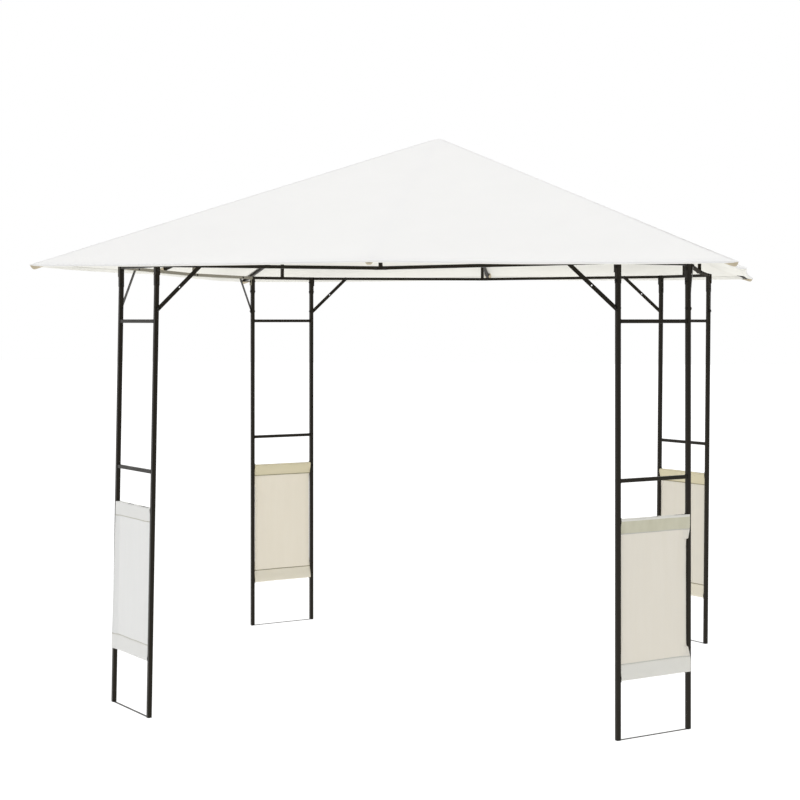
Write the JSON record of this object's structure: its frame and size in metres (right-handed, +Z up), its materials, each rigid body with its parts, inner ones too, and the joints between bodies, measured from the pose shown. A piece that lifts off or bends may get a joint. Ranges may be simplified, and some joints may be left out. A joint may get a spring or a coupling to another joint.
{
  "type": "garden gazebo",
  "caption": "Open square garden gazebo: steel tube frame with diagonal ladder legs at the corners, corner braces, fabric leg panels and a pyramid fabric canopy.",
  "frame": {"origin": "on the ground, in the middle of the plan", "axes": "+X along the front to the right, +Y from front to back, +Z up"},
  "size_m": [3, 3, 2.6379],
  "materials": {
    "frame_coating": "satin powder coat, near black",
    "canopy_fabric": "woven polyester, off-white",
    "leg_panel_fabric": "woven polyester, cream",
    "black_plastic": "moulded, matte black"
  },
  "bodies": {
    "root": {"leg_frame_front_left": "frame_coating", "leg_panel_front_left": "leg_panel_fabric", "corner_connector_front_left": "frame_coating", "hip_rafter_front_left": "frame_coating", "leg_frame_front_right": "frame_coating", "leg_panel_front_right": "leg_panel_fabric", "corner_connector_front_right": "frame_coating", "hip_rafter_front_right": "frame_coating", "leg_frame_back_right": "frame_coating", "leg_panel_back_right": "leg_panel_fabric", "corner_connector_back_right": "frame_coating", "hip_rafter_back_right": "frame_coating", "leg_frame_back_left": "frame_coating", "leg_panel_back_left": "leg_panel_fabric", "corner_connector_back_left": "frame_coating", "hip_rafter_back_left": "frame_coating", "side_beam_front": "frame_coating", "brace_front_left": "frame_coating", "brace_front_right": "frame_coating", "mid_rafter_front": "frame_coating", "canopy_panel_front": "canopy_fabric", "side_beam_right": "frame_coating", "brace_right_left": "frame_coating", "brace_right_right": "frame_coating", "mid_rafter_right": "frame_coating", "canopy_panel_right": "canopy_fabric", "side_beam_back": "frame_coating", "brace_back_left": "frame_coating", "brace_back_right": "frame_coating", "mid_rafter_back": "frame_coating", "canopy_panel_back": "canopy_fabric", "side_beam_left": "frame_coating", "brace_left_left": "frame_coating", "brace_left_right": "frame_coating", "mid_rafter_left": "frame_coating", "canopy_panel_left": "canopy_fabric", "crown_hub": "black_plastic"}
  },
  "joints": []
}
